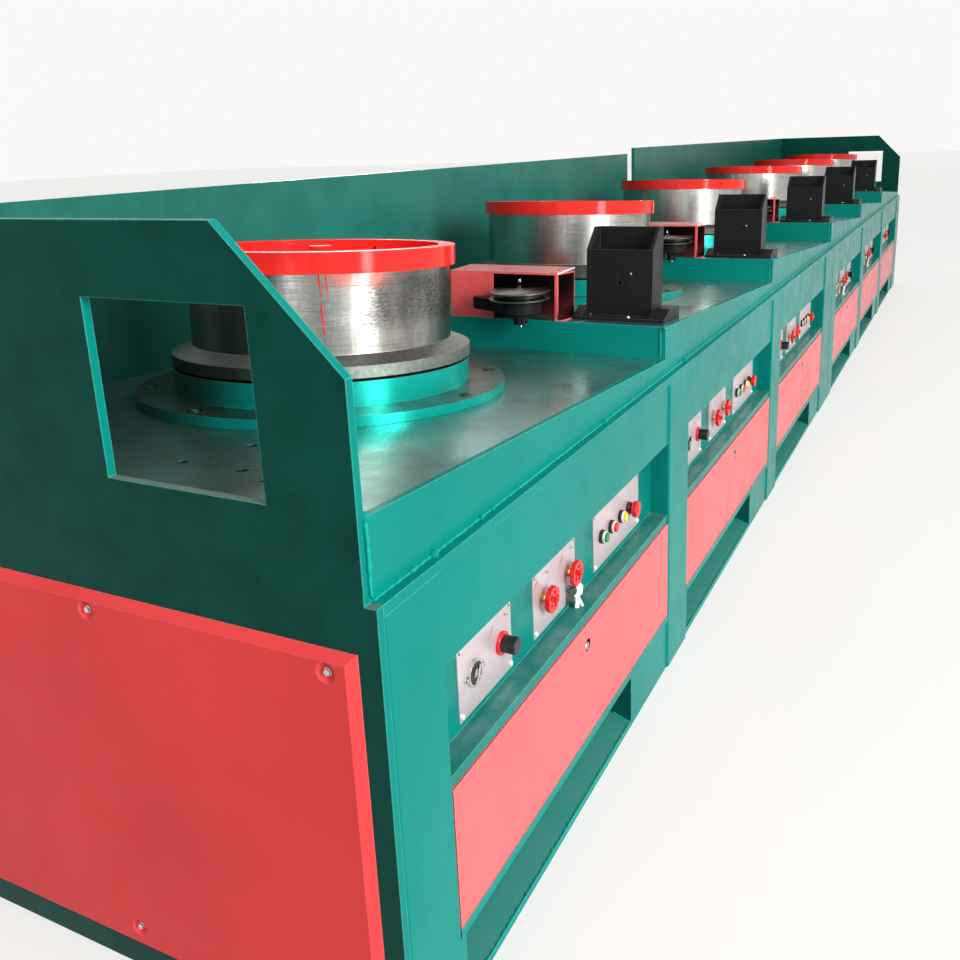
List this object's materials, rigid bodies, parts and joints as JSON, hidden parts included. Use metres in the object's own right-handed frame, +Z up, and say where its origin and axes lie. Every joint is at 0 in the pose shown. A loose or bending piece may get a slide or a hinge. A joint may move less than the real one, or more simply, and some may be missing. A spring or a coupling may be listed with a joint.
{
  "type": "straight-line wire drawing machine",
  "caption": "Wire drawing machine in a straight line: green bed with sloping decks, silver drums with red crowns, die boxes, sheaves on tension arms, and control recesses.",
  "frame": {"origin": "on the floor, at the middle of the machine's bounding box", "axes": "+X along the line, away from the end the wire enters, +Y away from the operator front, +Z up"},
  "size_m": [8.712, 1.13, 1.391],
  "materials": {
    "green_paint": "gloss enamel",
    "red_paint": "gloss enamel",
    "black_paint": "satin enamel",
    "machined_steel": "machined, lightly scratched",
    "drum_steel": "turned and polished, scuffed",
    "bright_metal": "polished",
    "plate_alloy": "brushed",
    "black_plastic": "satin",
    "red_plastic": "gloss"
  },
  "bodies": {
    "machine": {"end_plates": "green_paint", "end_covers": "red_paint", "back_panels": "green_paint", "bed_bodies": "green_paint", "front_posts": "green_paint", "rear_posts": "green_paint", "ledge_plates": "green_paint", "front_headers": "green_paint", "rear_headers": "green_paint", "control_recesses": "green_paint", "front_doors": "red_paint", "rear_doors": "red_paint", "front_sills": "green_paint", "rear_sills": "green_paint", "side_bands": "green_paint", "deck_plates": "machined_steel", "deck_risers": "green_paint", "drum_housings": "green_paint", "tension_guards": "red_paint", "arm_pivots": "machined_steel", "die_boxes": "black_paint", "control_plates": "plate_alloy", "range_selectors": "bright_metal", "speed_knobs": "black_plastic", "valve_wheels": "red_plastic", "push_buttons": "black_plastic", "emergency_stops": "red_plastic"},
    "drum_1": {"drum_1": "drum_steel", "crown_1": "red_paint"},
    "drum_2": {"drum_2": "drum_steel", "crown_2": "red_paint"},
    "drum_3": {"drum_3": "drum_steel", "crown_3": "red_paint"},
    "drum_4": {"drum_4": "drum_steel", "crown_4": "red_paint"},
    "drum_5": {"drum_5": "drum_steel", "crown_5": "red_paint"},
    "drum_6": {"drum_6": "drum_steel", "crown_6": "red_paint"},
    "tension_arm_2": {"tension_arm_2": "black_paint"},
    "sheave_2": {"sheave_2": "bright_metal"},
    "tension_arm_3": {"tension_arm_3": "black_paint"},
    "sheave_3": {"sheave_3": "bright_metal"},
    "tension_arm_4": {"tension_arm_4": "black_paint"},
    "sheave_4": {"sheave_4": "bright_metal"},
    "tension_arm_5": {"tension_arm_5": "black_paint"},
    "sheave_5": {"sheave_5": "bright_metal"},
    "tension_arm_6": {"tension_arm_6": "black_paint"},
    "sheave_6": {"sheave_6": "bright_metal"}
  },
  "joints": [
    {"name": "drum_1_spin", "type": "hinge", "parent": "machine", "child": "drum_1", "pos_m": [-3.63123, 0.041, 1.00243], "axis": [0.0628, 0, 0.998], "continuous": true},
    {"name": "drum_2_spin", "type": "hinge", "parent": "machine", "child": "drum_2", "pos_m": [-2.23123, 0.041, 0.99992], "axis": [0.0628, 0, 0.998], "continuous": true},
    {"name": "drum_3_spin", "type": "hinge", "parent": "machine", "child": "drum_3", "pos_m": [-0.83123, 0.041, 0.99992], "axis": [0.0628, 0, 0.998], "continuous": true},
    {"name": "drum_4_spin", "type": "hinge", "parent": "machine", "child": "drum_4", "pos_m": [0.71277, 0.041, 1.00243], "axis": [0.0628, 0, 0.998], "continuous": true},
    {"name": "drum_5_spin", "type": "hinge", "parent": "machine", "child": "drum_5", "pos_m": [2.11277, 0.041, 0.99992], "axis": [0.0628, 0, 0.998], "continuous": true},
    {"name": "drum_6_spin", "type": "hinge", "parent": "machine", "child": "drum_6", "pos_m": [3.51277, 0.041, 0.99992], "axis": [0.0628, 0, 0.998], "continuous": true},
    {"name": "tension_arm_2_swing", "type": "hinge", "parent": "machine", "child": "tension_arm_2", "pos_m": [-2.912, -0.095, 1.003], "axis": [0, 0, 1], "range_deg": [-8, 0]},
    {"name": "sheave_2_spin", "type": "hinge", "parent": "tension_arm_2", "child": "sheave_2", "pos_m": [-3.026, -0.151, 1.037], "axis": [0, 0, 1], "continuous": true},
    {"name": "tension_arm_3_swing", "type": "hinge", "parent": "machine", "child": "tension_arm_3", "pos_m": [-1.512, -0.095, 1.003], "axis": [0, 0, 1], "range_deg": [-8, 0]},
    {"name": "sheave_3_spin", "type": "hinge", "parent": "tension_arm_3", "child": "sheave_3", "pos_m": [-1.626, -0.151, 1.037], "axis": [0, 0, 1], "continuous": true},
    {"name": "tension_arm_4_swing", "type": "hinge", "parent": "machine", "child": "tension_arm_4", "pos_m": [0.072, -0.095, 1.003], "axis": [0, 0, 1], "range_deg": [-8, 0]},
    {"name": "sheave_4_spin", "type": "hinge", "parent": "tension_arm_4", "child": "sheave_4", "pos_m": [-0.042, -0.151, 1.037], "axis": [0, 0, 1], "continuous": true},
    {"name": "tension_arm_5_swing", "type": "hinge", "parent": "machine", "child": "tension_arm_5", "pos_m": [1.432, -0.095, 1.003], "axis": [0, 0, 1], "range_deg": [-8, 0]},
    {"name": "sheave_5_spin", "type": "hinge", "parent": "tension_arm_5", "child": "sheave_5", "pos_m": [1.318, -0.151, 1.037], "axis": [0, 0, 1], "continuous": true},
    {"name": "tension_arm_6_swing", "type": "hinge", "parent": "machine", "child": "tension_arm_6", "pos_m": [2.832, -0.095, 1.003], "axis": [0, 0, 1], "range_deg": [-8, 0]},
    {"name": "sheave_6_spin", "type": "hinge", "parent": "tension_arm_6", "child": "sheave_6", "pos_m": [2.718, -0.151, 1.037], "axis": [0, 0, 1], "continuous": true}
  ]
}
